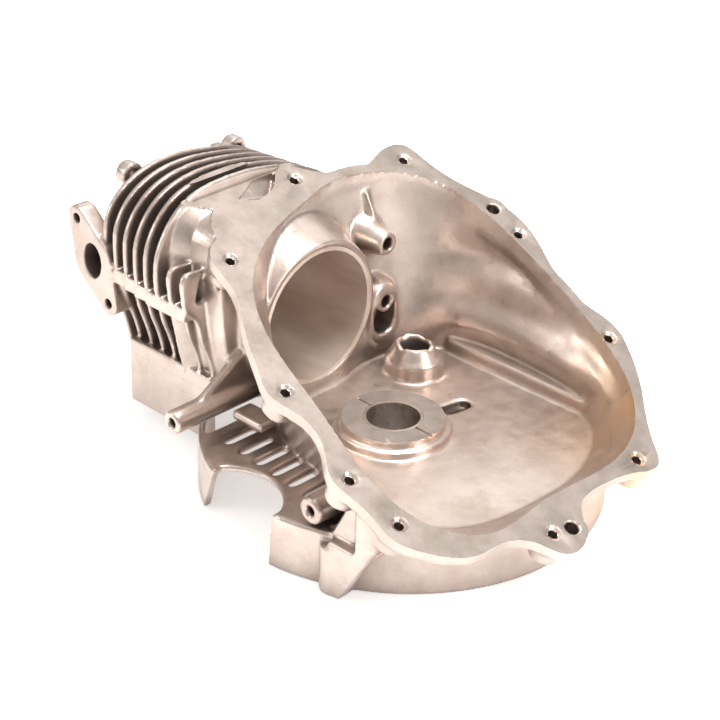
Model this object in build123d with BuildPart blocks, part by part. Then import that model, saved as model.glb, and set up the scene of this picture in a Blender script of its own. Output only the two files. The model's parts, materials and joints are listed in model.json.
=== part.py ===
"""Bare cylinder block of a small vertical-shaft engine: finned cylinder, head and half a crankcase.

Frame: the origin is on the crankshaft's axis, on the thrust face of the main bearing. +Z runs along the
crankshaft towards the open side, and -X along the cylinder towards the head. +Y is the camshaft's side.
Lengths are millimetres. The casting is drawn as touching regions, and the pressed-in pieces stand apart.
"""

import os
from math import cos, hypot, radians, sin

from build123d import *

SLIVER_VOLUME = 100.0  # cubic millimetres

# Crankcase
FLOOR_TOP = -8.0
FLOOR_BOTTOM = -13.0
WALL = 5.0
SPLIT_TILT = 24.0  # the gasket face falls towards +X by this angle
SPLIT_HEIGHT = 50.0  # of the gasket face above the crankshaft's thrust face
FLANGE_DEPTH = 6.0
BOLT_BOSS_R = 7.5
BOLT_BOSS_LENGTH = 13.0
BOLT_DRILL_R = 2.6  # tapped M6
BOLT_DRILL_DEPTH = 18.0
DOWEL_R = 3.6
DOWEL_DEPTH = 9.0

# Main bearing and seal
SHAFT_R = 12.7
BUSH_R = 14.2
BUSH_BOTTOM = -24.0
MAIN_BOSS_R = 24.3
MAIN_STEP_R = 27.0
MAIN_STEP_Z = -4.0
SEAL_R = 19.0
SEAL_SHEET = 1.2
SEAL_TOP = -26.0
HUB_BOTTOM = -33.0

# Camshaft side
CAM_X = -33.0
CAM_Y = 50.0
CAM_STEP_R = 14.5
CAM_STEP_Z = 1.0
CAM_BOSS_RS = (13.0, 9.5)  # at its foot and at its top
CAM_BOSS_TOP = 8.0
CAM_BORE_R = 7.5
CAM_NOTCHES = 4
CAM_BLIND_R = 11.5  # of the boss under the floor
CAM_BLIND_DEPTH = 6.0
TAPPET_Y = 50.5
TAPPET_Z = (53.0, 22.0)
TAPPET_R = 3.5
TAPPET_BOSS_R = 5.6
TAPPET_ROOT_R = 11.0
TAPPET_ROOT_X = -76.0
TAPPET_END_X = -53.0
TAPPET_PAD_X = -54.0
TAPPET_PAD_WIDTH = 18.0
TAPPET_PAD_Z = (-2.0, 31.0)
TAPPET_PAD_DRAFT = 18.0  # degrees
TAPPET_RIB = [(-77, 56), (-62, 56), (-71, 74), (-77, 74)]  # X and Z
TAPPET_RIB_Y = (52.0, 54.5)
POCKET_DEPTH = 13.0
POCKET_Z = (4.0, 25.0)
POCKET_WIDTH = 14.5

# Cylinder
BORE_R = 32.5
LINER_R = 34.5
BARREL_R = 40.0
CYLINDER_Z = 33.5
MOUTH_X = -49.5
MOUTH_R = 37.0
FUNNEL_R = 48.0  # of the thick ring round the mouth, where it meets the crankcase's end wall
DECK_X = -124.0
SHOULDER_X = -85.0  # outside face of the crankcase's end wall
SHOULDER_END_X = -62.0

# Cooling fins
FIN_PITCH = 9.0
FIN_THICKNESS = 2.4
FULL_FINS = 6
SHORT_FINS = 2
LAST_FULL_FIN_X = -93.0
SHORT_FIN_TOP = 68.5
SHORT_FIN_SHIFT = 0.6  # the short fins stand this much further from the full ones
FIN_RIB_Z = (42.0, 49.0)
FIN_RIB_Y = (-62.0, -45.0)
FIN_RIB_STEP = 1.4  # the ribs between the fins end this much further in, fin by fin
FIN_FOOT = 6.0  # how far the fillet from the end wall grows out by the last full fin

# Head end
HEAD_X = -157.0
ROCKER_FLOOR_X = -153.0
HEAD_INNER_X = -139.5
HEAD_CORE_R = 44.0
HEAD_SIDE_Y = (-30.0, 61.0)
HEAD_SPAN_Z = (-10.0, 74.0)
HEAD_CORNER_R = 18.0
ROCKER_WALL = 6.0
CHAMBER_R = 27.0
VALVE_Z = (48.5, 18.5)  # intake, exhaust
SEAT_X = -130.0
SEAT_RS = (15.0, 13.0)
SEAT_DEPTH = 5.0
SEAT_WALL = 3.0
GUIDE_R = 5.5
GUIDE_BORE_R = 2.8
GUIDE_TOP_X = -159.0
GUIDE_SEAT_X = -150.0
STEM_SEAL_R = 7.0
STEM_SEAL_X = (-163.0, -159.0)
ROCKER_STUD_R = 3.2
ROCKER_STUD_Y = 26.0
SPARK_OUTSIDE = (-160.0, -34.0, 12.0)
SPARK_DIRECTION = (0.6, 0.75, 0.1)
SPARK_SEAT_R = 12.0
SPARK_R = 6.3
LUGS = [(-33, 85.5), (34, 80), (-17, -9), (45, -9)]
LUG_R = 5.8
LUG_X = (-149.0, -142.5)
LUG_WEBS = [(0.87, 5.0), (0.73, 11.0)]  # rods behind a lug: share of its Y, and step towards the middle in Z

# Ports
PORT_X = -145.0
PORT_Z = 47.5
PORT_FACE_Y = -58.0
PORT_FLANGE_DEPTH = 9.0
PORT_NECK_R = 12.5
PORT_RADII = (6.5, 9.2)
PORT_LENGTH = 60.0
PORT_STUD = (-10.7, 19.0)  # from the port's centre to its upper stud hole, in X and Z
STUD_R = 2.6
STUD_BOSS_R = 6.0
FLANGE_HUB_R = 13.5
EXHAUST_FACE_Y = 66.0
EXHAUST_DROP = 21.5  # from the exhaust valve down to its port's centre
EXHAUST_R = 9.0
EXHAUST_STUD_X = 19.0

# Tunnel for the pushrods
TUNNEL_END_X = -78.0
TUNNEL_WIDTH = 22.0
PUSHROD_HOLE_R = 4.5

# Fan side
RIM_X = 2.0
RIM_Y = 5.0
RIM_R = 95.5
RIM_BOTTOM = -35.0
PLATE_BOTTOM = -11.0
PLATE_END_X = -58.0
SKIRT_WALL = 3.5
SKIRT_END_X = -74.0
SKIRT_GAP = [(-30, -7), (-44, -36), (11, -36), (13, -7)]  # X and Z of the gap in the skirt
SLOT_COUNT = 6
SLOT_PITCH = 11.6
SLOT_FIRST_X = -45.8
SLOT_MIDDLE_Y = -53.6
SLOT_STEP_Y = 1.1
SLOT_LENGTH = 20.0
SLOT_WIDTH = 4.0
NOTCH_X = -11.5
NOTCH_Y = -96.8
NOTCH_R = 26.8
HUB_RIBS = 6
HUB_RIB_START = 20.0  # degrees
HUB_RIB_SIZE = (20.0, 3.0, 8.0)

# Tapped tubes along Y: X, Z, radius and the Y of the open end
TUBES = [(-61.0, 3.5, 5.6, -83.0), (32.0, 0.5, 6.4, -86.0)]
TUBE_ROOT_Y = -24.0
TUBE_HOLE_R = 2.6
TUBE_HOLE_DEPTH = 22.0
TUBE_GUSSET = [(-68, 8), (-41, 25), (-34, 25), (-34, 4)]  # Y and Z
TUBE_GUSSET_WIDTH = 4.0
LEDGE = [(-49.5, -30), (-56, -44), (0, 4.5)]  # beside the first tube, in X, Y and Z

# Mounting ear
EAR_X = 44.0
EAR_Y = -81.0
EAR_R = 7.3
EAR_TOP = -12.0
EAR_HOLE_R = 3.4
EAR_HOLE_DEPTH = 20.0
EAR_WEB = [(41, -8), (52, 13), (56, 22), (56, -8)]  # X and Z
EAR_WEB_Y = (-82.0, -78.5)
EAR_GUSSET_HIGH = [(60, -8), (67.7, -8), (75, 3.5), (75, 13), (60, 19)]  # X and Z
EAR_GUSSET_LOW = [(44, -35), (51, -35), (67.7, -8), (44, -8)]
EAR_GUSSET_Y = (-87.0, -82.5)
EAR_SHELF = [(44, 66), (-87, -60), (-11, -8)]  # X, Y and Z

# Walls of the air duct under the fins
DUCT_END_X = -132.5
DUCT_FAR_END_X = -117.0
DUCT_WALL = 3.0
DUCT_NEAR_Y = -47.0
DUCT_FAR_Y = 60.0
DUCT_Z = (-27.0, 7.0)

# Oil passages
GALLERY_X = (-38.0, 64.0)
GALLERY_Y = 80.5
GALLERY_R = 5.0
DRAIN_PLACE = (5.0, 38.0)
DRAIN_SIZE = (17.0, 8.0)
DRAIN_TURN = 80.0
DRAIN_BOTTOM = -12.0
GROOVE_WIDTH = 2.4
GROOVE_DEPTH = 1.5

CAVITY_TOP = [
    (-75, 23), (-72, 63), (-56, 86), (-28, 95), (7, 95), (42, 91), (74, 80), (96, 56), (102, 23),
    (101, -14), (102, -48), (88, -69), (58, -77), (22, -71), (-13, -65), (-40, -52), (-60, -26),
]
CAVITY_FLOOR = [
    (-51, 22), (-53, 54), (-44, 72), (-24, 82), (5, 84), (38, 80), (62, 69), (78, 48), (86, 22),
    (86, -8), (80, -34), (66, -50), (46, -55), (20, -47), (-12, -42), (-34, -33), (-48, -14),
]
FLANGE_EDGE = [
    (-89, 9), (-93, 18), (-87, 26), (-80, 38), (-77, 58), (-82, 76), (-80, 88), (-70, 91), (-50, 97),
    (-36, 105), (-22, 109), (-12, 108), (6, 101), (28, 97), (48, 101), (59, 97), (80, 82), (102, 63),
    (112, 54), (110, 42), (107, 22), (110, 2), (123, -10), (124, -24), (114, -32), (107, -46),
    (106, -62), (94, -82), (84, -89), (72, -89), (62, -90), (50, -91), (39, -84), (22, -80), (6, -85),
    (-4, -81), (-22, -72), (-48, -58), (-62, -56), (-69, -48), (-70, -32), (-80, -10),
]
BOLT_HOLES = [
    (-84, 17), (-73, 81), (-14, 101), (51, 93), (105, 48), (114, -21), (80, -81), (54, -84), (8, -77),
    (-58, -48),
]
DOWEL_HOLES = [
    (-31, 101), (116, -11),
]
# Outlines of the last full fin and of the fin nearest the head, point for point, in Y and Z
FIN_EDGE = [
    (-45, 4), (-48.5, 20), (-52.5, 31), (-55.5, 41), (-61, 47), (-63.5, 57), (-62, 70), (-54, 84),
    (-43, 92.5), (-28, 96), (-10, 96.3), (5, 94.6), (17, 92), (30, 87.5), (47, 78), (60, 64), (64, 40),
    (62, 15), (50, 0), (25, -8), (-20, -8),
]
HEAD_FIN_EDGE = [
    (-42, 3), (-46.5, 20), (-50, 30), (-52.5, 38), (-55, 47), (-55.8, 57), (-54.3, 71), (-48.6, 80),
    (-37.5, 87.4), (-21, 91.5), (-6, 91.3), (5, 89.8), (17, 87.7), (30, 84), (45, 75), (56, 62), (60, 40),
    (59, 15), (48, 0), (25, -8), (-20, -8),
]
SHOULDER_EDGE = [
    (-42, 5), (-47, 25), (-50, 50), (-49, 72), (-45, 81), (-34, 86.5), (-20, 86.5), (-1, 83), (20, 78),
    (42, 68), (52, 50), (52, 20), (42, 0), (0, -9), (-25, -6),
]

gasket = Plane(
    origin=(0, 0, SPLIT_HEIGHT),
    x_dir=(cos(radians(SPLIT_TILT)), 0, -sin(radians(SPLIT_TILT))),
    z_dir=(sin(radians(SPLIT_TILT)), 0, cos(radians(SPLIT_TILT))),
)


def on_gasket(points):
    """Points given in plan, as coordinates in the tilted gasket plane."""
    return [(x / cos(radians(SPLIT_TILT)), y) for x, y in points]


def grown(points, by):
    """A closed outline with each point moved outwards, square to the line between its neighbours."""
    result = []
    for i, (x, y) in enumerate(points):
        before, after = points[i - 1], points[(i + 1) % len(points)]
        dx, dy = after[0] - before[0], after[1] - before[1]
        length = hypot(dx, dy)
        result.append((x - by * dy / length, y + by * dx / length))
    return result


def between(first, last, share):
    """The outline that lies between two others of the same number of points."""
    return [(a + (c - a) * share, b + (d - b) * share) for (a, b), (c, d) in zip(first, last)]


def across(x):
    """The plane square to the cylinder at x, with Y to its left and Z up: local (-y, z)."""
    return Plane(origin=(x, 0, 0), x_dir=(0, -1, 0), z_dir=(-1, 0, 0))


def spline_sheet(points):
    """A smooth closed outline through the points, filled."""
    with BuildSketch() as sheet:
        with BuildLine():
            Spline(*points, periodic=True)
        make_face()
    return sheet.sketch


def x_rod(radius, x_from, x_to, y=0.0, z=CYLINDER_Z):
    """A plain rod along X, from x_from up to x_to."""
    with BuildPart() as rod:
        with BuildSketch(across(x_to)):
            with Locations((-y, z)):
                Circle(radius)
        extrude(amount=x_to - x_from)
    return rod.part


def y_rod(radius, y_from, y_to, x, z):
    """A plain rod along Y, from y_from up to y_to."""
    with BuildPart() as rod:
        with BuildSketch(Plane(origin=(x, y_from, z), x_dir=(1, 0, 0), z_dir=(0, 1, 0))):
            Circle(radius)
        extrude(amount=y_to - y_from)
    return rod.part


def z_rod(radius, z_from, z_to, x=0.0, y=0.0):
    """A plain rod along Z."""
    with BuildPart() as rod:
        with BuildSketch(Plane(origin=(x, y, z_from))):
            Circle(radius)
        extrude(amount=z_to - z_from)
    return rod.part


def x_ring(outer, inner, x_from, x_to, y=0.0, z=CYLINDER_Z):
    """A plain ring about an axis along X."""
    with BuildPart() as ring:
        with BuildSketch(across(x_to)):
            with Locations((-y, z)):
                Circle(outer)
                Circle(inner, mode=Mode.SUBTRACT)
        extrude(amount=x_to - x_from)
    return ring.part


def z_ring(outer, inner, z_from, z_to, x=0.0, y=0.0):
    """A plain ring about an axis along Z."""
    with BuildPart() as ring:
        with BuildSketch(Plane(origin=(x, y, z_from))):
            Circle(outer)
            Circle(inner, mode=Mode.SUBTRACT)
        extrude(amount=z_to - z_from)
    return ring.part


def block(x_range, y_range, z_range):
    """A plain box between two corners."""
    with BuildPart() as box:
        middle = [(a + b) / 2 for a, b in (x_range, y_range, z_range)]
        with Locations(tuple(middle)):
            Box(x_range[1] - x_range[0], y_range[1] - y_range[0], z_range[1] - z_range[0])
    return box.part


def without_slivers(part):
    """A region's solids, without the thin leftovers that its cuts make."""
    return Compound([solid for solid in part.solids() if solid.volume > SLIVER_VOLUME])


def save(part, name):
    """Label a finished piece and write it."""
    part.label = name
    export_step(part, f"parts/{name}.step")


def x_cone(r_low, r_high, x_from, x_to, y=0.0, z=CYLINDER_Z):
    """A plain cone along X, with radius r_low at x_from and r_high at x_to."""
    with BuildPart() as cone:
        for x, radius in ((x_to, r_high), (x_from, r_low)):
            with BuildSketch(across(x)):
                with Locations((-y, z)):
                    Circle(radius)
        loft()
    return cone.part


def xz_web(outline, y_from, y_to):
    """A flat web that stands across Y, with its outline in X and Z."""
    with BuildPart() as web:
        with BuildSketch(Plane(origin=(0, y_to, 0), x_dir=(1, 0, 0), z_dir=(0, -1, 0))):
            with BuildLine():
                Polyline(*outline, close=True)
            make_face()
        extrude(amount=y_to - y_from)
    return web.part


def yz_web(outline, x_from, x_to):
    """A flat web that stands across X, with its outline in Y and Z."""
    with BuildPart() as web:
        with BuildSketch(Plane(origin=(x_from, 0, 0), x_dir=(0, 1, 0), z_dir=(1, 0, 0))):
            with BuildLine():
                Polyline(*outline, close=True)
            make_face()
        extrude(amount=x_to - x_from)
    return web.part


os.makedirs("parts", exist_ok=True)

# ------------------------------------------------ shapes that several regions share

with BuildPart() as cavity:
    with BuildSketch(Plane.XY.offset(FLOOR_TOP)):
        add(spline_sheet(CAVITY_FLOOR))
    with BuildSketch(gasket):
        add(spline_sheet(on_gasket(CAVITY_TOP)))
    loft()

floor_sheet = spline_sheet(grown(CAVITY_FLOOR, WALL))

with BuildPart() as above_gasket:
    with BuildSketch(gasket):
        Rectangle(600, 400)
    extrude(amount=100)

# Bolt and dowel holes, square to the gasket face
with BuildPart() as flange_holes:
    with BuildSketch(gasket):
        with Locations(*on_gasket(BOLT_HOLES)):
            Circle(BOLT_DRILL_R)
    extrude(amount=-BOLT_DRILL_DEPTH)
    with BuildSketch(gasket):
        with Locations(*on_gasket(DOWEL_HOLES)):
            Circle(DOWEL_R)
    extrude(amount=-DOWEL_DEPTH)

with BuildPart() as gasket_flange:
    with BuildSketch(gasket):
        add(spline_sheet(on_gasket(FLANGE_EDGE)))
    extrude(amount=-FLANGE_DEPTH)
    add(cavity.part, mode=Mode.SUBTRACT)

# The barrel's outside, without its bore: a straight tube behind the crankcase's end wall, a funnel inside it,
# and the fillet that runs from the end wall out to the last full fin
with BuildPart() as barrel_outside:
    add(x_rod(BARREL_R, DECK_X, SHOULDER_X))
    add(x_cone(FUNNEL_R, MOUTH_R, SHOULDER_X, MOUTH_X))
    with BuildSketch(across(LAST_FULL_FIN_X + FIN_THICKNESS / 2)):
        add(spline_sheet([(-y, z) for y, z in grown(SHOULDER_EDGE, FIN_FOOT)]))
    with BuildSketch(across(SHOULDER_X)):
        add(spline_sheet([(-y, z) for y, z in SHOULDER_EDGE]))
    loft()
    add(above_gasket.part, mode=Mode.SUBTRACT)
    add(gasket_flange.part, mode=Mode.SUBTRACT)

# ------------------------------------------------ casting: gasket flange round the open side

with BuildPart() as flange:
    add(gasket_flange.part)
    add(flange_holes.part, mode=Mode.SUBTRACT)
save(flange.part, "casting_gasket_flange")

# ---------------------------------- casting: crankcase wall, and its end round the cylinder's mouth

with BuildPart() as bolt_bosses:
    with BuildSketch(gasket):
        with Locations(*on_gasket(BOLT_HOLES + DOWEL_HOLES)):
            Circle(BOLT_BOSS_R)
    extrude(amount=-BOLT_BOSS_LENGTH)

# Slot-shaped pocket under the lower tappet's boss
with BuildPart() as tappet_pocket:
    with BuildSketch(across(TAPPET_PAD_X)):
        with Locations((-TAPPET_Y, sum(POCKET_Z) / 2)):
            SlotOverall(POCKET_Z[1] - POCKET_Z[0], POCKET_WIDTH, rotation=90)
    extrude(amount=POCKET_DEPTH)

with BuildPart() as crankcase:
    with BuildSketch(Plane.XY.offset(FLOOR_TOP)):
        add(floor_sheet)
    with BuildSketch(gasket):
        add(spline_sheet(grown(on_gasket(CAVITY_TOP), WALL)))
    loft()
    add(bolt_bosses.part)
    with BuildSketch(across(SHOULDER_END_X)):
        add(spline_sheet([(-y, z) for y, z in SHOULDER_EDGE]))
    extrude(amount=SHOULDER_END_X - SHOULDER_X)
    for x, z, radius, y_end in TUBES:
        add(y_rod(radius, y_end, TUBE_ROOT_Y, x, z))
    add(yz_web(TUBE_GUSSET, TUBES[0][0] - TUBE_GUSSET_WIDTH / 2, TUBES[0][0] + TUBE_GUSSET_WIDTH / 2))
    add(block(*LEDGE))
    add(xz_web(EAR_WEB, *EAR_WEB_Y))
    add(xz_web(EAR_GUSSET_HIGH, *EAR_GUSSET_Y))
    add(cavity.part, mode=Mode.SUBTRACT)
    with BuildSketch(across(TAPPET_PAD_X)):
        with Locations((-TAPPET_Y, sum(TAPPET_PAD_Z) / 2)):
            SlotOverall(TAPPET_PAD_Z[1] - TAPPET_PAD_Z[0], TAPPET_PAD_WIDTH, rotation=90)
    extrude(amount=TAPPET_PAD_X - TAPPET_ROOT_X, taper=-TAPPET_PAD_DRAFT)
    add(tappet_pocket.part, mode=Mode.SUBTRACT)
    add(x_cone(TAPPET_ROOT_R, TAPPET_BOSS_R, TAPPET_ROOT_X, TAPPET_END_X, TAPPET_Y, TAPPET_Z[0]))
    add(x_rod(TAPPET_BOSS_R, TAPPET_ROOT_X, TAPPET_END_X, TAPPET_Y, TAPPET_Z[1]))
    add(xz_web(TAPPET_RIB, *TAPPET_RIB_Y))
    add(z_rod(RIM_R, RIM_BOTTOM - 1, FLOOR_TOP, RIM_X, RIM_Y), mode=Mode.SUBTRACT)
    add(above_gasket.part, mode=Mode.SUBTRACT)
    add(gasket_flange.part, mode=Mode.SUBTRACT)
    add(barrel_outside.part, mode=Mode.SUBTRACT)
    add(x_rod(BORE_R, DECK_X, MOUTH_X + 20), mode=Mode.SUBTRACT)
    add(flange_holes.part, mode=Mode.SUBTRACT)
    for z in TAPPET_Z:
        add(x_rod(TAPPET_R, -110, TAPPET_END_X, TAPPET_Y, z), mode=Mode.SUBTRACT)
    for x, z, radius, y_end in TUBES:
        add(y_rod(TUBE_HOLE_R, y_end, y_end + TUBE_HOLE_DEPTH, x, z), mode=Mode.SUBTRACT)

with BuildPart() as end_wall:
    add(crankcase.part)
    split(bisect_by=Plane(origin=(MOUTH_X, 0, 0), z_dir=(1, 0, 0)), keep=Keep.BOTTOM)
save(without_slivers(end_wall.part), "casting_end_wall")

with BuildPart() as side_wall:
    add(crankcase.part)
    split(bisect_by=Plane(origin=(MOUTH_X, 0, 0), z_dir=(1, 0, 0)), keep=Keep.TOP)
save(without_slivers(side_wall.part), "casting_crankcase_wall")

# ------------------------------------------------ casting: crankcase floor with the two bearing bosses

with BuildPart() as gallery:
    with BuildSketch(Plane.XY.offset(FLOOR_TOP)):
        with Locations(((GALLERY_X[0] + GALLERY_X[1]) / 2, GALLERY_Y)):
            SlotOverall(GALLERY_X[1] - GALLERY_X[0], 2 * GALLERY_R)
    extrude(amount=GALLERY_R + 2, taper=12)
    add(cavity.part, mode=Mode.INTERSECT)

with BuildPart() as floor:
    with BuildSketch(Plane.XY.offset(FLOOR_BOTTOM)):
        add(floor_sheet)
    extrude(amount=FLOOR_TOP - FLOOR_BOTTOM)
    add(z_rod(MAIN_BOSS_R, FLOOR_TOP, 0))
    add(z_rod(MAIN_STEP_R, FLOOR_TOP, MAIN_STEP_Z))
    add(z_rod(MAIN_STEP_R, HUB_BOTTOM, FLOOR_BOTTOM))
    add(z_rod(CAM_STEP_R, FLOOR_TOP, CAM_STEP_Z, CAM_X, CAM_Y))
    with BuildSketch(Plane(origin=(CAM_X, CAM_Y, CAM_STEP_Z))):
        Circle(CAM_BOSS_RS[0])
    with BuildSketch(Plane(origin=(CAM_X, CAM_Y, CAM_BOSS_TOP))):
        Circle(CAM_BOSS_RS[1])
    loft()
    add(z_rod(CAM_BLIND_R, FLOOR_BOTTOM - CAM_BLIND_DEPTH, FLOOR_BOTTOM, CAM_X, CAM_Y))
    add(gallery.part)
    for i in range(HUB_RIBS):
        angle = 360 / HUB_RIBS * i + HUB_RIB_START
        with BuildSketch(Plane.XY.offset(FLOOR_BOTTOM).rotated((0, 0, angle))):
            with Locations((MAIN_BOSS_R + HUB_RIB_SIZE[0] / 2 - 2, 0)):
                Rectangle(HUB_RIB_SIZE[0], HUB_RIB_SIZE[1])
        extrude(amount=-HUB_RIB_SIZE[2])
    add(z_rod(BUSH_R, BUSH_BOTTOM, 0), mode=Mode.SUBTRACT)
    add(z_rod(SHAFT_R + 1, HUB_BOTTOM, BUSH_BOTTOM), mode=Mode.SUBTRACT)
    add(z_rod(SEAL_R, HUB_BOTTOM, SEAL_TOP), mode=Mode.SUBTRACT)
    add(z_rod(CAM_BORE_R, FLOOR_BOTTOM - CAM_BLIND_DEPTH, CAM_BOSS_TOP, CAM_X, CAM_Y), mode=Mode.SUBTRACT)
    with BuildSketch(Plane(origin=(CAM_X, CAM_Y, CAM_BOSS_TOP))):
        with PolarLocations(CAM_BORE_R, CAM_NOTCHES):
            Rectangle(2 * (CAM_BOSS_RS[1] - CAM_BORE_R) + 2, GROOVE_WIDTH)
    extrude(amount=-GROOVE_DEPTH, mode=Mode.SUBTRACT)
    with BuildSketch(Plane.XY.offset(DRAIN_BOTTOM)):
        with Locations(DRAIN_PLACE):
            SlotOverall(*DRAIN_SIZE, rotation=DRAIN_TURN)
    extrude(amount=FLOOR_TOP - DRAIN_BOTTOM, mode=Mode.SUBTRACT)
    with BuildSketch(Plane.XY):
        Rectangle(2 * MAIN_BOSS_R + 4, GROOVE_WIDTH)
    extrude(amount=-GROOVE_DEPTH, mode=Mode.SUBTRACT)
save(floor.part, "casting_crankcase_floor")

# ------------------------------------------------ casting: fan-side plate outside the crankcase floor

with BuildPart() as fan_plate:
    with BuildSketch(Plane.XY.offset(PLATE_BOTTOM)):
        with Locations((RIM_X, RIM_Y)):
            Circle(RIM_R - SKIRT_WALL)
        with Locations((PLATE_END_X - RIM_R / 2, 0)):
            Rectangle(RIM_R, 3 * RIM_R, mode=Mode.SUBTRACT)
        with Locations((NOTCH_X, NOTCH_Y)):
            Circle(NOTCH_R, mode=Mode.SUBTRACT)
        for i in range(SLOT_COUNT):
            with Locations((SLOT_FIRST_X + i * SLOT_PITCH, SLOT_MIDDLE_Y - i * SLOT_STEP_Y)):
                SlotOverall(SLOT_LENGTH, SLOT_WIDTH, rotation=90, mode=Mode.SUBTRACT)
    extrude(amount=FLOOR_TOP - PLATE_BOTTOM)
    with BuildSketch(Plane.XY.offset(FLOOR_BOTTOM)):
        add(floor_sheet)
    extrude(amount=FLOOR_TOP - FLOOR_BOTTOM, mode=Mode.SUBTRACT)
    add(z_rod(EAR_R, RIM_BOTTOM, FLOOR_TOP, EAR_X, EAR_Y), mode=Mode.SUBTRACT)
    add(flange_holes.part, mode=Mode.SUBTRACT)
save(fan_plate.part, "casting_fan_plate")

# ------------------------------------------------ casting: skirt round the fan, with the mounting ear

with BuildPart() as skirt:
    add(z_ring(RIM_R, RIM_R - SKIRT_WALL, RIM_BOTTOM, FLOOR_TOP, RIM_X, RIM_Y))
    add(xz_web(SKIRT_GAP, -130, -50), mode=Mode.SUBTRACT)
    add(block((-130, SKIRT_END_X), (-150, 150), (RIM_BOTTOM - 1, FLOOR_TOP + 1)), mode=Mode.SUBTRACT)
    add(xz_web(EAR_GUSSET_LOW, *EAR_GUSSET_Y))
    add(block(*EAR_SHELF))
    add(z_rod(RIM_R - SKIRT_WALL, RIM_BOTTOM - 1, FLOOR_TOP, RIM_X, RIM_Y), mode=Mode.SUBTRACT)
    add(z_rod(EAR_R, RIM_BOTTOM, EAR_TOP, EAR_X, EAR_Y))
    add(z_rod(EAR_HOLE_R, RIM_BOTTOM, RIM_BOTTOM + EAR_HOLE_DEPTH, EAR_X, EAR_Y), mode=Mode.SUBTRACT)
    add(flange_holes.part, mode=Mode.SUBTRACT)
    with BuildSketch(Plane.XY.offset(FLOOR_BOTTOM)):
        add(floor_sheet)
    extrude(amount=FLOOR_TOP - FLOOR_BOTTOM, mode=Mode.SUBTRACT)
save(skirt.part, "casting_fan_skirt")

# ------------------------------------------------ casting: barrel

with BuildPart() as barrel:
    add(barrel_outside.part)
    add(x_rod(LINER_R, DECK_X, MOUTH_X), mode=Mode.SUBTRACT)
    add(x_rod(TAPPET_R, -110, TAPPET_END_X, TAPPET_Y, TAPPET_Z[0]), mode=Mode.SUBTRACT)
    add(x_rod(TAPPET_R, -110, TAPPET_END_X, TAPPET_Y, TAPPET_Z[1]), mode=Mode.SUBTRACT)
save(barrel.part, "casting_barrel")

# ------------------------------------------------ casting: tunnel for the pushrods

with BuildPart() as tunnel:
    with BuildSketch(across(TUNNEL_END_X)):
        with Locations((-TAPPET_Y, sum(TAPPET_Z) / 2)):
            RectangleRounded(TUNNEL_WIDTH, TAPPET_Z[0] - TAPPET_Z[1] + TUNNEL_WIDTH, TUNNEL_WIDTH / 3)
    extrude(amount=TUNNEL_END_X - HEAD_INNER_X)
    add(barrel_outside.part, mode=Mode.SUBTRACT)
    add(x_rod(HEAD_CORE_R, HEAD_INNER_X, DECK_X), mode=Mode.SUBTRACT)
    for z in TAPPET_Z:
        add(x_rod(PUSHROD_HOLE_R, HEAD_INNER_X, TUNNEL_END_X, TAPPET_Y, z), mode=Mode.SUBTRACT)
    add(crankcase.part, mode=Mode.SUBTRACT)
save(tunnel.part, "casting_pushrod_tunnel")

# ------------------------------------------------ casting: intake flange with its two stud holes

port_face = Plane(origin=(PORT_X, PORT_FACE_Y, PORT_Z), x_dir=(1, 0, 0), z_dir=(0, -1, 0))
stud_places = [PORT_STUD, (-PORT_STUD[0], -PORT_STUD[1])]

with BuildPart() as intake_port:
    with BuildSketch(port_face):
        Ellipse(*PORT_RADII)
    extrude(amount=-PORT_LENGTH)

with BuildPart() as intake_flange:
    with BuildSketch(port_face):
        with Locations((0, 0)):
            Circle(FLANGE_HUB_R)
        with Locations(*stud_places):
            Circle(STUD_BOSS_R)
        make_hull()
        with Locations(*stud_places):
            Circle(STUD_R, mode=Mode.SUBTRACT)
    extrude(amount=-PORT_FLANGE_DEPTH)
    with BuildSketch(port_face.offset(-PORT_FLANGE_DEPTH)):
        Circle(PORT_NECK_R)
    extrude(amount=-20)
    add(x_rod(HEAD_CORE_R, HEAD_INNER_X, DECK_X), mode=Mode.SUBTRACT)
    add(block((HEAD_X, HEAD_INNER_X), HEAD_SIDE_Y, (-30, 100)), mode=Mode.SUBTRACT)
    add(intake_port.part, mode=Mode.SUBTRACT)
save(intake_flange.part, "casting_intake_flange")

# ------------------------------------------------ casting: exhaust flange

exhaust_face = Plane(
    origin=(PORT_X, EXHAUST_FACE_Y, VALVE_Z[1] - EXHAUST_DROP), x_dir=(1, 0, 0), z_dir=(0, 1, 0)
)
exhaust_studs = [(-EXHAUST_STUD_X, 0), (EXHAUST_STUD_X, 0)]

with BuildPart() as exhaust_port:
    with BuildSketch(
        Plane(origin=(PORT_X, 0, VALVE_Z[1]), x_dir=(1, 0, 0), z_dir=(0, EXHAUST_FACE_Y, -EXHAUST_DROP))
    ):
        Circle(EXHAUST_R)
    extrude(amount=90)

with BuildPart() as exhaust_flange:
    with BuildSketch(exhaust_face):
        Circle(FLANGE_HUB_R)
        with Locations(*exhaust_studs):
            Circle(STUD_BOSS_R)
        make_hull()
        with Locations(*exhaust_studs):
            Circle(STUD_R, mode=Mode.SUBTRACT)
    extrude(amount=HEAD_SIDE_Y[1] - EXHAUST_FACE_Y)
    add(exhaust_port.part, mode=Mode.SUBTRACT)
save(exhaust_flange.part, "casting_exhaust_flange")

# ------------------------------------------------ casting: head end, chamber roof and rocker box floor

head_middle = (-sum(HEAD_SIDE_Y) / 2, sum(HEAD_SPAN_Z) / 2)
head_width = HEAD_SIDE_Y[1] - HEAD_SIDE_Y[0]
head_height = HEAD_SPAN_Z[1] - HEAD_SPAN_Z[0]
inner_width = head_width - 2 * ROCKER_WALL
inner_height = head_height - 2 * ROCKER_WALL
spark_plane = Plane(origin=SPARK_OUTSIDE, x_dir=(0, 0, 1), z_dir=SPARK_DIRECTION)

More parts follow.
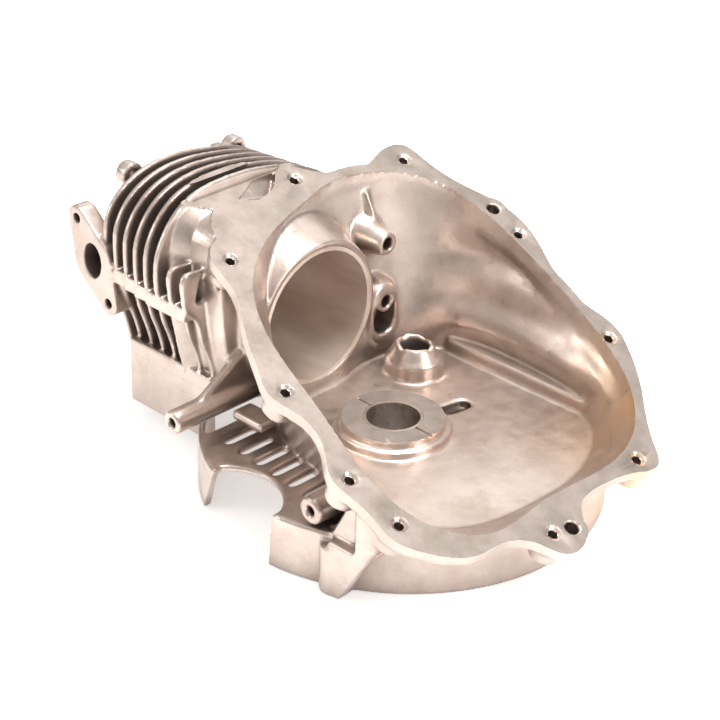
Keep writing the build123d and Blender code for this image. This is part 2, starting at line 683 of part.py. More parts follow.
with BuildPart() as head:
    with BuildSketch(across(HEAD_INNER_X)):
        with Locations(head_middle):
            RectangleRounded(head_width, head_height, HEAD_CORNER_R)
    extrude(amount=HEAD_INNER_X - HEAD_X)
    for y, z in LUGS:
        add(x_rod(LUG_R, LUG_X[0], LUG_X[1], y, z))
        for share, step in LUG_WEBS:
            web_z = z - step if z > CYLINDER_Z else z + step
            add(x_rod(LUG_R, HEAD_X + 2, LUG_X[1] - 1, y * share, web_z))
    add(x_rod(HEAD_CORE_R, HEAD_INNER_X, DECK_X))
    with BuildSketch(across(ROCKER_FLOOR_X)):
        with Locations(head_middle):
            RectangleRounded(inner_width, inner_height, HEAD_CORNER_R - ROCKER_WALL)
    extrude(amount=ROCKER_FLOOR_X - HEAD_X, mode=Mode.SUBTRACT)
    for z in VALVE_Z:
        add(x_rod(GUIDE_R + 4, HEAD_X + 1, ROCKER_FLOOR_X, 0, z))
    add(x_rod(CHAMBER_R, SEAT_X, DECK_X), mode=Mode.SUBTRACT)
    for z, seat in zip(VALVE_Z, SEAT_RS):
        add(x_rod(seat, SEAT_X - SEAT_DEPTH, SEAT_X, 0, z), mode=Mode.SUBTRACT)
        add(x_rod(seat - SEAT_WALL, GUIDE_SEAT_X, SEAT_X - SEAT_DEPTH, 0, z), mode=Mode.SUBTRACT)
        add(x_rod(GUIDE_R, HEAD_X + 1, GUIDE_SEAT_X, 0, z), mode=Mode.SUBTRACT)
    add(intake_port.part, mode=Mode.SUBTRACT)
    add(exhaust_port.part, mode=Mode.SUBTRACT)
    for z in TAPPET_Z:
        add(x_rod(PUSHROD_HOLE_R, ROCKER_FLOOR_X, HEAD_INNER_X, TAPPET_Y, z), mode=Mode.SUBTRACT)
    for y, z in LUGS:
        add(x_rod(TUBE_HOLE_R, LUG_X[0] - 4, LUG_X[1], y, z), mode=Mode.SUBTRACT)
    for z in VALVE_Z:
        stud_hole = x_rod(ROCKER_STUD_R, ROCKER_FLOOR_X - 1, ROCKER_FLOOR_X + 9, ROCKER_STUD_Y, z)
        add(stud_hole, mode=Mode.SUBTRACT)
    with BuildSketch(spark_plane):
        Circle(SPARK_SEAT_R)
    extrude(amount=14, mode=Mode.SUBTRACT)
    with BuildSketch(spark_plane):
        Circle(SPARK_R)
    extrude(amount=40, mode=Mode.SUBTRACT)
save(head.part, "casting_head_end")

# ------------------------------------------------ casting: cooling fins, and the ribs between them

with BuildPart() as fin_clearance:
    add(barrel_outside.part)
    add(x_rod(HEAD_CORE_R, HEAD_INNER_X, DECK_X))
    add(tunnel.part)
    for z in TAPPET_Z:
        add(x_rod(PUSHROD_HOLE_R + 1, HEAD_INNER_X, TUNNEL_END_X, TAPPET_Y, z))
    add(intake_flange.part)
    with BuildSketch(gasket):
        add(spline_sheet(on_gasket(FLANGE_EDGE)))
    extrude(amount=30, both=True)

with BuildPart() as fins:
    for i in range(FULL_FINS):
        with BuildSketch(across(LAST_FULL_FIN_X - i * FIN_PITCH + FIN_THICKNESS / 2)):
            edge = between(FIN_EDGE, HEAD_FIN_EDGE, i / (FULL_FINS - 1))
            add(spline_sheet([(-y, z) for y, z in edge]))
        extrude(amount=FIN_THICKNESS)
    for i in range(SHORT_FINS):
        fin_x = LAST_FULL_FIN_X + (i + 1) * FIN_PITCH + SHORT_FIN_SHIFT
        with BuildSketch(across(fin_x + FIN_THICKNESS / 2)):
            add(spline_sheet([(-y, min(z, SHORT_FIN_TOP + y * 0.04)) for y, z in FIN_EDGE]))
        extrude(amount=FIN_THICKNESS)
    add(fin_clearance.part, mode=Mode.SUBTRACT)
    add(crankcase.part, mode=Mode.SUBTRACT)
save(without_slivers(fins.part), "casting_cooling_fins")

with BuildPart() as fin_ribs:
    for i in range(-SHORT_FINS, FULL_FINS - 1):
        rib_end = LAST_FULL_FIN_X - i * FIN_PITCH
        rib_edge = FIN_RIB_Y[0] + max(i, 0) * FIN_RIB_STEP
        add(block((rib_end - FIN_PITCH, rib_end), (rib_edge, FIN_RIB_Y[1]), FIN_RIB_Z))
    add(fin_clearance.part, mode=Mode.SUBTRACT)
    add(crankcase.part, mode=Mode.SUBTRACT)
    add(fins.part, mode=Mode.SUBTRACT)
save(fin_ribs.part, "casting_fin_ribs")

# ------------------------------------------------ casting: duct walls under the fins

with BuildPart() as duct_near:
    add(block((DUCT_END_X, SKIRT_END_X), (DUCT_NEAR_Y, DUCT_NEAR_Y + DUCT_WALL), DUCT_Z))
    add(fins.part, mode=Mode.SUBTRACT)
    add(barrel_outside.part, mode=Mode.SUBTRACT)
    add(crankcase.part, mode=Mode.SUBTRACT)
save(duct_near.part, "casting_duct_wall_near")

with BuildPart() as duct_far:
    add(block((DUCT_FAR_END_X, SKIRT_END_X), (DUCT_FAR_Y, DUCT_FAR_Y + DUCT_WALL), DUCT_Z))
    add(fins.part, mode=Mode.SUBTRACT)
    add(barrel_outside.part, mode=Mode.SUBTRACT)
    add(crankcase.part, mode=Mode.SUBTRACT)
    add(tunnel.part, mode=Mode.SUBTRACT)
save(duct_far.part, "casting_duct_wall_far")

# ------------------------------------------------ pieces pressed into the casting

save(x_ring(LINER_R, BORE_R, DECK_X, MOUTH_X), "cylinder_liner")
save(z_ring(BUSH_R, SHAFT_R, BUSH_BOTTOM, 0), "main_bearing_bush")

with BuildPart() as seal_case:
    add(z_ring(SEAL_R, SEAL_R - SEAL_SHEET, HUB_BOTTOM, SEAL_TOP))
    add(z_ring(SEAL_R - SEAL_SHEET, SHAFT_R + 2.5, SEAL_TOP - SEAL_SHEET, SEAL_TOP))
save(seal_case.part, "crank_seal_case")

with BuildPart() as seal_lip:
    with BuildSketch(Plane.XZ):
        with BuildLine():
            Polyline(
                (SEAL_R - SEAL_SHEET, SEAL_TOP - SEAL_SHEET), (SHAFT_R + 0.8, SEAL_TOP - SEAL_SHEET),
                (SHAFT_R + 0.15, SEAL_TOP - 4), (SHAFT_R + 1.2, HUB_BOTTOM + 1),
                (SHAFT_R + 3, HUB_BOTTOM + 1), (SHAFT_R + 2.6, SEAL_TOP - 3),
                (SEAL_R - SEAL_SHEET, SEAL_TOP - 3), close=True,
            )
        make_face()
    revolve(axis=Axis.Z)
save(seal_lip.part, "crank_seal_lip")

with BuildPart() as seal_spring:
    with BuildSketch(Plane.XZ):
        with Locations((SHAFT_R + 3.7, SEAL_TOP - 4.6)):
            Circle(0.7)
    revolve(axis=Axis.Z)
save(seal_spring.part, "crank_seal_spring")

plug_bottom = FLOOR_BOTTOM - CAM_BLIND_DEPTH
save(z_rod(CAM_BORE_R, plug_bottom, plug_bottom + 3, CAM_X, CAM_Y), "cam_bore_plug")
save(x_ring(STEM_SEAL_R, GUIDE_BORE_R, STEM_SEAL_X[0], STEM_SEAL_X[1], 0, VALVE_Z[0]), "intake_stem_seal")
for name, z, seat in zip(("intake", "exhaust"), VALVE_Z, SEAT_RS):
    save(x_ring(seat, seat - SEAT_WALL, SEAT_X - SEAT_DEPTH, SEAT_X, 0, z), f"{name}_valve_seat")
    save(x_ring(GUIDE_R, GUIDE_BORE_R, GUIDE_TOP_X, GUIDE_SEAT_X + 4, 0, z), f"{name}_valve_guide")
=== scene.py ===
"""Looks of the bare engine block: one die casting with its pressed-in liner, bush, seals and valve pieces.

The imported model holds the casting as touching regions, so that its collision stays open. Here they are
joined into the one casting that the real object is, with cast fillets on its edges and flat machined faces.
Blender units are metres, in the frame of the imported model.
"""

import json
import math

import bmesh
import bpy
import numpy as np
from mathutils import Matrix, Vector


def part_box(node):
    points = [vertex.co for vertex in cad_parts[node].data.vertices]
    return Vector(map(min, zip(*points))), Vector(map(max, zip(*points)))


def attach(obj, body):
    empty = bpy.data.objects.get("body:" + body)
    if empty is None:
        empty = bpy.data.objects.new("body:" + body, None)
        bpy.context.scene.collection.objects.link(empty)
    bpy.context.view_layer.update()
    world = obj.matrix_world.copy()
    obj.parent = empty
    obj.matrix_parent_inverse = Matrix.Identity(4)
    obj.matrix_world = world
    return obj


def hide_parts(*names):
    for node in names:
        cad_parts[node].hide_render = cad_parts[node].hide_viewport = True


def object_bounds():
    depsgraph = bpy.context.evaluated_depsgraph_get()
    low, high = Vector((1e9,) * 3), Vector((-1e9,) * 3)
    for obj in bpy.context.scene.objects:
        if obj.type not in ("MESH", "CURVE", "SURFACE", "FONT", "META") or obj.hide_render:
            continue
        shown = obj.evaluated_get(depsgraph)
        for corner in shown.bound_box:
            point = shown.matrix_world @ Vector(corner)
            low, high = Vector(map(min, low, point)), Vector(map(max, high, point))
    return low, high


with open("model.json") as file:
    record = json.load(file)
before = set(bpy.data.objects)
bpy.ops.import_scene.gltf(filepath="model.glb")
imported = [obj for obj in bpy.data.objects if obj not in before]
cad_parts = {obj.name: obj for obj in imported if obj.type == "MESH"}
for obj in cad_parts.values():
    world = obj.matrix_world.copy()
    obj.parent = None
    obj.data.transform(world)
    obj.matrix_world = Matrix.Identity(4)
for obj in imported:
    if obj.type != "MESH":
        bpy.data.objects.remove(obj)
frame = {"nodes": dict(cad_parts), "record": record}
cad_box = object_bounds()

MM = 0.001

# Camera: azimuth, elevation and roll in degrees, and its place
VIEW_AZIMUTH = 43.595
VIEW_ELEVATION = 28.618
VIEW_ROLL = 1.501
VIEW_AT = Vector((0.5684, -0.6203, 0.4881))
LENS_PER_SENSOR = 2096.78 / 720
SENSOR = 36.0
CLIP_START = 0.01

# Room: its strength at the walls and at the ceiling, and the sines of the elevations between which it rises
ROOM_STRENGTH = (0.18, 0.9)
ROOM_RISE = (0.05, 0.95)
ROOM_COLOR = (1.0, 0.975, 0.955, 1.0)

# Lamps: each one's name, place, size and power
LAMP_AIM = Vector((-0.02, 0.0, 0.02))
LAMP_COLOR = (1.0, 0.97, 0.95)
LAMPS = [
    ("top_box", (0.05, 0.15, 1.10), (0.6, 0.4), 12),
    ("left_box", (-0.72, -0.95, 0.52), (0.45, 0.45), 3.5),
    ("back_box", (-0.80, 0.95, 0.85), (1.2, 0.8), 3),
    ("right_box", (0.95, 0.15, 0.55), (0.35, 0.6), 6),
]

# Floor
FLOOR_HALF = 6.0
FLOOR_GAP = 0.2 * MM
FLOOR_GLOW = 0.5
FLOOR_GLOW_COLOR = (1.0, 0.99, 0.985, 1.0)

# The casting's mesh
WELD = 0.002 * MM
OVERLAP = 0.3 * MM  # the regions grow by this, so that they run into each other
VOXEL = 0.75 * MM
FACE_LIMIT = 190000
SHARP_EDGE = math.radians(28.0)
SMOOTH_FACTOR = 0.5
WEIGHT_STEP = 0.25  # smoothing weights are multiples of this
EDGE_PASSES = 4
BOWL_PASSES = 26

# What is smoothed as the bowl: the spans over which that fades in, in millimetres
BOWL_UNDER_GASKET = (4, 9)
BOWL_OVER_UNDERSIDE = (20, 23)
BOWL_ROUND_MAIN = (27.5, 30)
BOWL_PAST_MOUTH = (-28, -20)

# The far wall's waves, in millimetres: the spans over which they fade in or out, and each wave's swing
# outwards, height and half width
WALL_BEGIN_X = (-55, -30)
WALL_END_X = (35, 75)
WALL_Y = (52, 66)
WALL_UNDER_GASKET = (6, 12)
WALL_Z = (-8, -4)
WALL_WAVES = [(3.5, 42, 9), (-5.0, 10, 9)]

# Machined faces, and the bolt holes of the gasket face in X and Y, in millimetres
SPLIT_TILT = math.radians(24.0)
MACHINED_BAND = 0.9 * MM  # what is this near to a machined plane is pressed flat onto it
FACED_DEPTH = 0.05 * MM  # what is this near to a machined plane looks machined
THRUST_R = 24 * MM
BOLT_DRILL_R = 2.6 * MM
CHAMFER_R = 4.0 * MM
BOLT_HOLES = [
    (-84, 17), (-73, 81), (-14, 101), (51, 93), (105, 48), (114, -21), (80, -81), (54, -84), (8, -77),
    (-58, -48), (-31, 101), (116, -11),
]

# Colours and sheen of the casting, its stains, its painted crevice shade, its darkened floor pocket and its
# machined faces
CAST_DARK = (0.50, 0.405, 0.355)
CAST_LIGHT = (0.68, 0.59, 0.53)
CAST_STAIN = (0.38, 0.29, 0.24)
CAST_GRAIN = (0.86, 0.80, 0.75)
STRAW_TINT = (0.74, 0.47, 0.24)
# painted shade in the crevices
CREVICE_SHADE = (0.13, 0.10, 0.085)
POCKET_BLACK = (0.10, 0.075, 0.06)
FACED_LIGHT = (0.37, 0.322, 0.29)
FACED_DARK = (0.27, 0.23, 0.20)
CAST_ROUGHNESS = (0.27, 0.42)
FACED_ROUGHNESS = 0.58
CAST_METALLIC = 0.86
CREVICE_SAMPLES = 6

# The spans over which the straw tint fades in, how far walls are looked for around a crevice, and the
# middle and half size of the floor's slot-shaped pocket
TINT_X = (0.030, 0.085)
TINT_Y = (0.020, 0.070)
CREVICE_REACH = 16 * MM
POCKET_MIDDLE = (5 * MM, 38 * MM, -10.6 * MM)
POCKET_HALF = (6 * MM, 10 * MM, 2 * MM)

# Colours of the other pieces and of the floor, each from one tone to the other
IRON_TONES = ((0.62, 0.50, 0.42), (0.95, 0.84, 0.76))
RUBBER_TONES = ((0.018, 0.017, 0.016), (0.05, 0.047, 0.045))
PAPER_TONES = ((0.93, 0.925, 0.92), (0.91, 0.905, 0.90))

# The hone's crossed marks: radians of their wave around the cylinder, per radian, and along it, per metre
HONE_TURNS = 60.0
HONE_TRAVEL = 3000.0

# Turned or ground metals, by slot: their two tones, and their least and most roughness
METALS = {
    "bearing_metal": ((0.36, 0.30, 0.26), (0.56, 0.50, 0.45), 0.25, 0.4),
    "plated_steel": ((0.50, 0.50, 0.48), (0.68, 0.67, 0.63), 0.3, 0.45),
    "seat_steel": ((0.38, 0.36, 0.34), (0.52, 0.50, 0.48), 0.2, 0.32),
    "guide_iron": ((0.24, 0.22, 0.20), (0.36, 0.33, 0.30), 0.35, 0.5),
}

# Places from the record: the tilted gasket plane, and the cylinder's axis and mouth
mount_places = {mount["name"]: mount["pos_m"] for mount in frame["record"]["mounts"]}
gasket_normal = np.array([math.sin(SPLIT_TILT), 0.0, math.cos(SPLIT_TILT)])
gasket_level = float(np.dot(gasket_normal, mount_places["gasket_face"]))
mouth_x, _, bore_z = mount_places["cylinder_bore"]


# ---------------------------------------------------------------- small helpers


def coordinates(mesh):
    """All vertex positions of a mesh as an array."""
    flat = np.empty(len(mesh.vertices) * 3)
    mesh.vertices.foreach_get("co", flat)
    return flat.reshape(-1, 3)


def set_coordinates(mesh, points):
    """Writes an array of positions back to a mesh."""
    mesh.vertices.foreach_set("co", points.astype(np.float32).ravel())
    mesh.update()


def new_object(name, data):
    """An object for a mesh, lamp or camera, in the scene."""
    piece = bpy.data.objects.new(name, data)
    bpy.context.scene.collection.objects.link(piece)
    return piece


def bake_modifiers(piece):
    """Replaces an object's mesh by its modified one, and drops the modifiers."""
    graph = bpy.context.evaluated_depsgraph_get()
    result = bpy.data.meshes.new_from_object(piece.evaluated_get(graph))
    old = piece.data
    piece.modifiers.clear()
    piece.data = result
    bpy.data.meshes.remove(old)


def weighted_smooth(piece, weights, passes):
    """Smooths an object by weights, one per vertex, from 0 to 1."""
    group = piece.vertex_groups.new(name="smooth")
    for level in np.arange(WEIGHT_STEP, 1 + WEIGHT_STEP, WEIGHT_STEP).tolist():
        chosen = np.nonzero(np.abs(weights - level) < WEIGHT_STEP / 2)[0].tolist()
        group.add(chosen, level, "REPLACE")
    modifier = piece.modifiers.new("smooth", "SMOOTH")
    modifier.factor = SMOOTH_FACTOR
    modifier.iterations = passes
    modifier.vertex_group = group.name
    bake_modifiers(piece)
    piece.vertex_groups.clear()


def ramp(values, span, start=0.0):
    """0 up to the span's first value, 1 from its second, and even between; it is in millimetres."""
    low, high = (start + edge * MM for edge in span)
    return np.clip((values - low) / (high - low), 0.0, 1.0)


# ---------------------------------------------------------------- the casting


def joined_regions(names):
    """One mesh of all the regions, each welded and grown a little."""
    whole = bmesh.new()
    for name in names:
        region = bmesh.new()
        region.from_mesh(frame["nodes"][name].data)
        bmesh.ops.remove_doubles(region, verts=region.verts, dist=WELD)
        region.normal_update()
        for vertex in region.verts:
            vertex.co += vertex.normal * OVERLAP
        mesh = bpy.data.meshes.new(name + "_grown")
        region.to_mesh(mesh)
        region.free()
        whole.from_mesh(mesh)
        bpy.data.meshes.remove(mesh)
    mesh = bpy.data.meshes.new("block_casting")
    whole.to_mesh(mesh)
    whole.free()
    return mesh


def keep_largest_shell(mesh):
    """Deletes every loose part but the one with the most vertices."""
    edges = np.empty(len(mesh.edges) * 2, dtype=np.int64)
    mesh.edges.foreach_get("vertices", edges)
    edges = edges.reshape(-1, 2)
    label = np.arange(len(mesh.vertices))
    while True:
        low = np.minimum(label[edges[:, 0]], label[edges[:, 1]])
        new = label.copy()
        np.minimum.at(new, edges[:, 0], low)
        np.minimum.at(new, edges[:, 1], low)
        new = new[new]
        if np.array_equal(new, label):
            break
        label = new
    shells, counts = np.unique(label, return_counts=True)
    loose = np.nonzero(label != shells[counts.argmax()])[0]
    work = bmesh.new()
    work.from_mesh(mesh)
    work.verts.ensure_lookup_table()
    bmesh.ops.delete(work, geom=[work.verts[i] for i in loose], context="VERTS")
    work.to_mesh(mesh)
    work.free()


def below_gasket(points):
    """Distance of each point under the gasket face."""
    return gasket_level - points @ gasket_normal


def bowl_weights(points):
    """How much each point is smoothed as a part of the bowl, which leaves out the faces and bosses in it."""
    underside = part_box("casting_crankcase_floor")[0][2]
    inside = ramp(below_gasket(points), BOWL_UNDER_GASKET)
    inside *= ramp(points[:, 2], BOWL_OVER_UNDERSIDE, underside)
    inside *= ramp(np.hypot(points[:, 0], points[:, 1]), BOWL_ROUND_MAIN)
    inside *= ramp(points[:, 0], BOWL_PAST_MOUTH, mouth_x)
    return np.round(inside / WEIGHT_STEP) * WEIGHT_STEP


def shaped_wall(points):
    """Hollows the far wall under the flange and brings its foot in, as the room for the gears is cast."""
    x, y, z = points.T
    share = ramp(x, WALL_BEGIN_X) * (1 - ramp(x, WALL_END_X))
    share *= ramp(y, WALL_Y) * ramp(below_gasket(points), WALL_UNDER_GASKET)
    share *= ramp(z, WALL_Z)
    out = sum(swing * np.exp(-(((z / MM - height) / width) ** 2)) for swing, height, width in WALL_WAVES)
    shaped = points.copy()
    shaped[:, 1] += share * out * MM
    return shaped


def countersink(points, on_gasket):
    """Chamfers the bolt holes: what lies near them on the gasket face is pushed down towards the hole."""
    chosen = np.nonzero(on_gasket)[0]
    for x, y in BOLT_HOLES:
        centre = np.array([x * MM, y * MM, 0.0])
        centre[2] = (gasket_level - centre[0] * gasket_normal[0]) / gasket_normal[2]
        reach = np.linalg.norm(points[chosen] - centre, axis=1)
        down = np.clip(CHAMFER_R - reach, 0.0, CHAMFER_R - BOLT_DRILL_R)
        points[chosen] -= np.outer(down, gasket_normal)


def face_planes(points):
    """Presses the gasket face and the thrust face flat, and chamfers the bolt holes."""
    gap = -below_gasket(points)
    on_gasket = np.abs(gap) < MACHINED_BAND
    points[on_gasket] -= np.outer(gap[on_gasket], gasket_normal)
    on_thrust = (np.abs(points[:, 2]) < MACHINED_BAND) & (np.hypot(points[:, 0], points[:, 1]) < THRUST_R)
    points[on_thrust, 2] = 0.0
    countersink(points, on_gasket)


def build_casting():
    """The whole casting: joined, rounded like a die casting, then faced where it is machined."""
    names = [name for name in frame["nodes"] if name.startswith("casting_")]
    piece = new_object("block_casting", joined_regions(names))
    remesh = piece.modifiers.new("remesh", "REMESH")
    remesh.mode = "VOXEL"
    remesh.voxel_size = VOXEL
    bake_modifiers(piece)
    keep_largest_shell(piece.data)

    weighted_smooth(piece, np.ones(len(piece.data.vertices)), EDGE_PASSES)
    weighted_smooth(piece, bowl_weights(coordinates(piece.data)), BOWL_PASSES)
    points = shaped_wall(coordinates(piece.data))
    face_planes(points)
    set_coordinates(piece.data, points)

    triangles = sum(len(face.vertices) - 2 for face in piece.data.polygons)
    decimate = piece.modifiers.new("decimate", "DECIMATE")
    decimate.ratio = min(1.0, FACE_LIMIT / triangles)
    bake_modifiers(piece)
    piece.data.polygons.foreach_set("use_smooth", [True] * len(piece.data.polygons))
    piece.data.set_sharp_from_angle(angle=SHARP_EDGE)
    piece.data.update()
    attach(piece, "root")
    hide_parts(*names)
    return piece


# ---------------------------------------------------------------- materials


class Nodes:
    """A material's node tree, with short ways to add and link nodes."""

    def __init__(self, name):
        self.material = bpy.data.materials.new(name)
        self.material.use_nodes = True
        self.tree = self.material.node_tree
        self.shader = self.tree.nodes["Principled BSDF"]
        self.place = self.add("ShaderNodeTexCoord").outputs["Object"]

    def add(self, kind, **settings):
        """A new node with some of its properties set."""
        node = self.tree.nodes.new(kind)
        for key, value in settings.items():
            setattr(node, key, value)
        return node

    def put(self, value, socket):
        """Sets a socket to a number, or links an output to it."""
        if isinstance(value, (int, float)):
            socket.default_value = value
        else:
            self.tree.links.new(value, socket)

    def axes(self):
        """The object coordinates X, Y and Z."""
        split = self.add("ShaderNodeSeparateXYZ")
        self.put(self.place, split.inputs["Vector"])
        return split.outputs

    def noise(self, scale, detail=4.0, roughness=0.55, stretch=None):
        """A noise texture's value, with scale in features per metre."""
        node = self.add("ShaderNodeTexNoise")
        node.inputs["Scale"].default_value = scale
        node.inputs["Detail"].default_value = detail
        node.inputs["Roughness"].default_value = roughness
        place = self.place
        if stretch:
            mapping = self.add("ShaderNodeMapping")
            mapping.inputs["Scale"].default_value = stretch
            self.put(place, mapping.inputs["Vector"])
            place = mapping.outputs["Vector"]
        self.put(place, node.inputs["Vector"])
        return node.outputs["Fac"]

    def math(self, operation, *values):
        """The result of an operation on numbers and outputs."""
        node = self.add("ShaderNodeMath", operation=operation)
        for socket, value in zip(node.inputs, values):
            self.put(value, socket)
        return node.outputs[0]

    def remap(self, value, low, high, to_low=0.0, to_high=1.0):
        """The value, with its range from low to high laid out from to_low to to_high."""
        node = self.add("ShaderNodeMapRange")
        for key, number in zip(("From Min", "From Max", "To Min", "To Max"), (low, high, to_low, to_high)):
            node.inputs[key].default_value = number
        self.put(value, node.inputs["Value"])
        return node.outputs["Result"]

    def mix(self, share, first, second):
        """first where share is 0, and second where it is 1; each color is a tuple or a socket."""
        node = self.add("ShaderNodeMix", data_type="RGBA")
        self.put(share, node.inputs[0])
        colors = [socket for socket in node.inputs if socket.type == "RGBA"]
        for socket, value in zip(colors, (first, second)):
            if isinstance(value, tuple):
                socket.default_value = (*value, 1.0)
            else:
                self.put(value, socket)
        return next(socket for socket in node.outputs if socket.type == "RGBA")

    def bump(self, height, strength, distance):
        """Tilts the shader's normals by a height."""
        node = self.add("ShaderNodeBump")
        node.inputs["Strength"].default_value = strength
        node.inputs["Distance"].default_value = distance
        self.put(height, node.inputs["Height"])
        self.put(node.outputs["Normal"], self.shader.inputs["Normal"])

    def finish(self, color, roughness, metallic):
        """The material, with its shader's main values set."""
        self.put(color, self.shader.inputs["Base Color"])
        self.put(roughness, self.shader.inputs["Roughness"])
        self.put(metallic, self.shader.inputs["Metallic"])
        return self.material


def pocket_share(n, x, y, z):
    """1 in the slot-shaped pocket of the floor, and 0 elsewhere."""
    in_x, in_y, in_z = (
        n.math("COMPARE", axis, middle, half)
        for axis, middle, half in zip((x, y, z), POCKET_MIDDLE, POCKET_HALF)
    )
    return n.math("MULTIPLY", n.math("MULTIPLY", in_x, in_y), in_z)


def machined_share(n, x, z):
    """1 on the gasket face and the thrust face, and 0 elsewhere."""
    slope_x = n.math("MULTIPLY", x, float(gasket_normal[0]))
    slope_z = n.math("MULTIPLY", z, float(gasket_normal[2]))
    gasket = n.math("COMPARE", n.math("ADD", slope_x, slope_z), gasket_level, FACED_DEPTH)
    thrust = n.math("COMPARE", z, 0.0, FACED_DEPTH)
    return n.math("MAXIMUM", gasket, thrust)


def cast_aluminium():
    """Tumbled die-cast aluminium, warm grey with stains and a soft sheen; its machined faces are duller."""
    n = Nodes("cast_aluminium_surface")
    x, y, z = n.axes()
    patches = n.noise(22, detail=5)
    stains = n.noise(60, detail=6, roughness=0.65)
    grain = n.noise(900, detail=3)
    color = n.mix(n.remap(patches, 0.35, 0.68), CAST_DARK, CAST_LIGHT)
    color = n.mix(n.remap(stains, 0.48, 0.72, to_high=0.55), color, CAST_STAIN)
    color = n.mix(n.remap(grain, 0.3, 0.7, to_high=0.12), color, CAST_GRAIN)
    # A straw-coloured heat tint low on the far side of the crankcase
    tint = n.math("MULTIPLY", n.remap(x, *TINT_X), n.remap(y, *TINT_Y))
    tint = n.math("MULTIPLY", tint, n.remap(patches, 0.4, 0.6, to_low=0.35, to_high=0.95))
    color = n.mix(tint, color, STRAW_TINT)
    # Painted shade: the crevices are darkened by ambient occlusion, and the floor's slot-shaped pocket is
    # painted near black
    crevice = n.add("ShaderNodeAmbientOcclusion", samples=CREVICE_SAMPLES)
    crevice.inputs["Distance"].default_value = CREVICE_REACH
    color = n.mix(n.remap(crevice.outputs["AO"], 0.12, 0.72, to_low=0.9, to_high=0.0), color, CREVICE_SHADE)
    color = n.mix(pocket_share(n, x, y, z), color, POCKET_BLACK)
    machined = machined_share(n, x, z)
    faced = n.mix(n.remap(stains, 0.4, 0.65), FACED_LIGHT, FACED_DARK)
    color = n.mix(machined, color, faced)
    roughness = n.remap(n.noise(140, detail=5), 0.3, 0.7, *CAST_ROUGHNESS)
    roughness = n.math("MAXIMUM", roughness, n.math("MULTIPLY", machined, FACED_ROUGHNESS))
    height = n.math("ADD", n.noise(420), n.math("MULTIPLY", n.noise(70, detail=3), 1.6))
    height = n.math("MULTIPLY", height, n.math("SUBTRACT", 1.0, machined))
    n.bump(height, strength=0.3, distance=0.2 * MM)
    return n.finish(color, roughness, CAST_METALLIC)


def honed_iron():
    """The cylinder's wall: brown-grey iron with soft streaks along it and the crossed marks of the hone."""
    n = Nodes("honed_iron_surface")
    x, y, z = n.axes()
    angle = n.math("ARCTAN2", y, n.math("SUBTRACT", z, bore_z))
    turns = n.math("MULTIPLY", angle, HONE_TURNS)
    travel = n.math("MULTIPLY", x, HONE_TRAVEL)
    rising = n.math("SINE", n.math("ADD", turns, travel))
    falling = n.math("SINE", n.math("SUBTRACT", turns, travel))
    marks = n.math("ADD", rising, falling)
    streaks = n.noise(40, stretch=(0.3, 1.0, 1.0))
    color = n.mix(n.remap(streaks, 0.35, 0.65), *IRON_TONES)
    n.bump(marks, strength=0.06, distance=0.02 * MM)
    return n.finish(color, roughness=0.42, metallic=0.6)


def plain_metal(slot):
    """A turned or ground metal with faint stains."""
    dark, light, smoothest, roughest = METALS[slot]
    n = Nodes(slot + "_surface")
    color = n.mix(n.remap(n.noise(120), 0.3, 0.7), dark, light)
    n.bump(n.noise(1200, stretch=(1.0, 1.0, 0.2)), strength=0.15, distance=0.05 * MM)
    roughness = n.remap(n.noise(300), 0.3, 0.7, smoothest, roughest)
    return n.finish(color, roughness, metallic=0.9)


def seal_rubber():
    """Black moulded rubber with a dull bloom."""
    n = Nodes("seal_rubber_surface")
    color = n.mix(n.remap(n.noise(200), 0.4, 0.7), *RUBBER_TONES)
    n.bump(n.noise(1500), strength=0.2, distance=0.05 * MM)
    roughness = n.remap(n.noise(400), 0.3, 0.7, to_low=0.5, to_high=0.7)
    return n.finish(color, roughness, metallic=0.0)


def set_material(piece, material):
    """Makes a material the only one of an object."""
    piece.data.materials.clear()
    piece.data.materials.append(material)


def dress_nodes(casting):
    """Gives the casting and every remaining node its material, by the record's slots."""
    made = {"cast_aluminium": cast_aluminium(), "liner_iron": honed_iron(), "seal_rubber": seal_rubber()}
    made.update({slot: plain_metal(slot) for slot in METALS})
    set_material(casting, made["cast_aluminium"])
    for part in frame["record"]["subparts"]:
        if not part["node"].startswith("casting_"):
            set_material(frame["nodes"][part["node"]], made[part["material_slot"]])


# ---------------------------------------------------------------- floor, light and camera


def add_floor():
    """A white sweep under the skirt, bright enough to print as paper white."""
    mesh = bpy.data.meshes.new("floor")
    corners = [(x * FLOOR_HALF, y * FLOOR_HALF, 0) for x, y in ((-1, -1), (1, -1), (1, 1), (-1, 1))]
    mesh.from_pydata(corners, [], [(0, 1, 2, 3)])
    floor = new_object("floor", mesh)
    floor.location.z = cad_box[0][2] - FLOOR_GAP
    n = Nodes("floor_paper")
    tone = n.mix(n.remap(n.noise(3), 0.3, 0.7), *PAPER_TONES)
    n.shader.inputs["Emission Color"].default_value = FLOOR_GLOW_COLOR
    n.shader.inputs["Emission Strength"].default_value = FLOOR_GLOW
    mesh.materials.append(n.finish(tone, roughness=0.8, metallic=0.0))


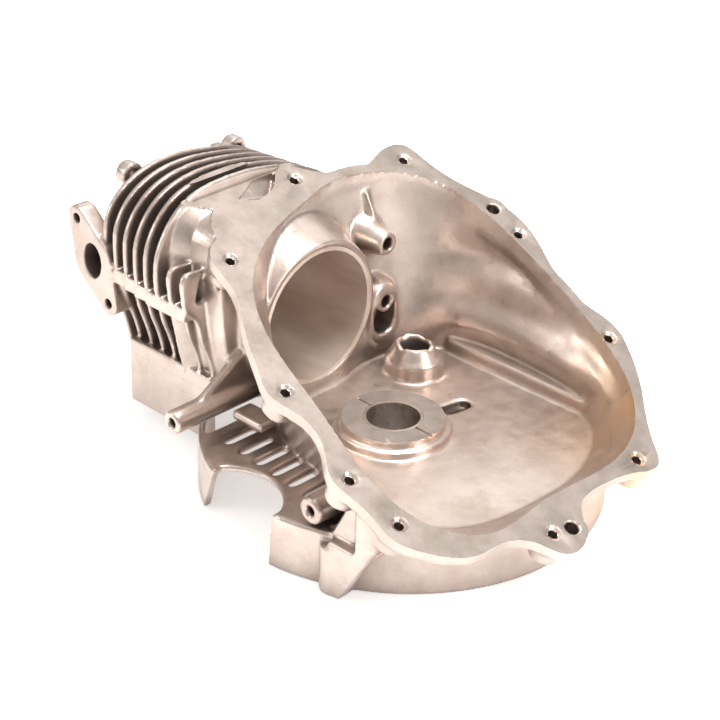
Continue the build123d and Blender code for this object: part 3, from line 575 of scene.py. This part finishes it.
def add_lamp(name, place, size, power):
    """A soft box that faces the object."""
    light = bpy.data.lights.new(name, "AREA")
    light.shape = "RECTANGLE"
    light.size, light.size_y = size
    light.energy = power
    light.color = LAMP_COLOR
    lamp = new_object(name, light)
    lamp.location = place
    lamp.rotation_euler = (LAMP_AIM - Vector(place)).to_track_quat("-Z", "Y").to_euler()


def add_room():
    """A dim room with a bright ceiling."""
    world = bpy.data.worlds.new("room")
    world.use_nodes = True
    tree = world.node_tree
    place = tree.nodes.new("ShaderNodeTexCoord")
    split = tree.nodes.new("ShaderNodeSeparateXYZ")
    level = tree.nodes.new("ShaderNodeMapRange")
    level.interpolation_type = "SMOOTHSTEP"
    level.inputs["From Min"].default_value, level.inputs["From Max"].default_value = ROOM_RISE
    level.inputs["To Min"].default_value, level.inputs["To Max"].default_value = ROOM_STRENGTH
    tree.links.new(place.outputs["Generated"], split.inputs["Vector"])
    tree.links.new(split.outputs["Z"], level.inputs["Value"])
    background = tree.nodes["Background"]
    background.inputs["Color"].default_value = ROOM_COLOR
    tree.links.new(level.outputs["Result"], background.inputs["Strength"])
    bpy.context.scene.world = world


def add_camera():
    """The camera at the photograph's viewing angle."""
    azimuth, elevation, roll = (math.radians(v) for v in (VIEW_AZIMUTH, VIEW_ELEVATION, VIEW_ROLL))
    level = math.cos(elevation)
    forward = Vector((-math.sin(azimuth) * level, math.cos(azimuth) * level, -math.sin(elevation)))
    right = Vector((math.cos(azimuth), math.sin(azimuth), 0.0))
    up = right.cross(forward)
    turned_right = math.cos(roll) * right + math.sin(roll) * up
    turned_up = -math.sin(roll) * right + math.cos(roll) * up
    camera = new_object("camera", bpy.data.cameras.new("camera"))
    axes = Matrix((turned_right, turned_up, -forward)).transposed()
    camera.matrix_world = Matrix.Translation(VIEW_AT) @ axes.to_4x4()
    camera.data.sensor_width = SENSOR
    camera.data.lens = LENS_PER_SENSOR * SENSOR
    camera.data.clip_start = CLIP_START
    bpy.context.scene.camera = camera


add_camera()
add_floor()
add_room()
for lamp in LAMPS:
    add_lamp(*lamp)
dress_nodes(build_casting())
bpy.context.scene.view_settings.view_transform = "Standard"
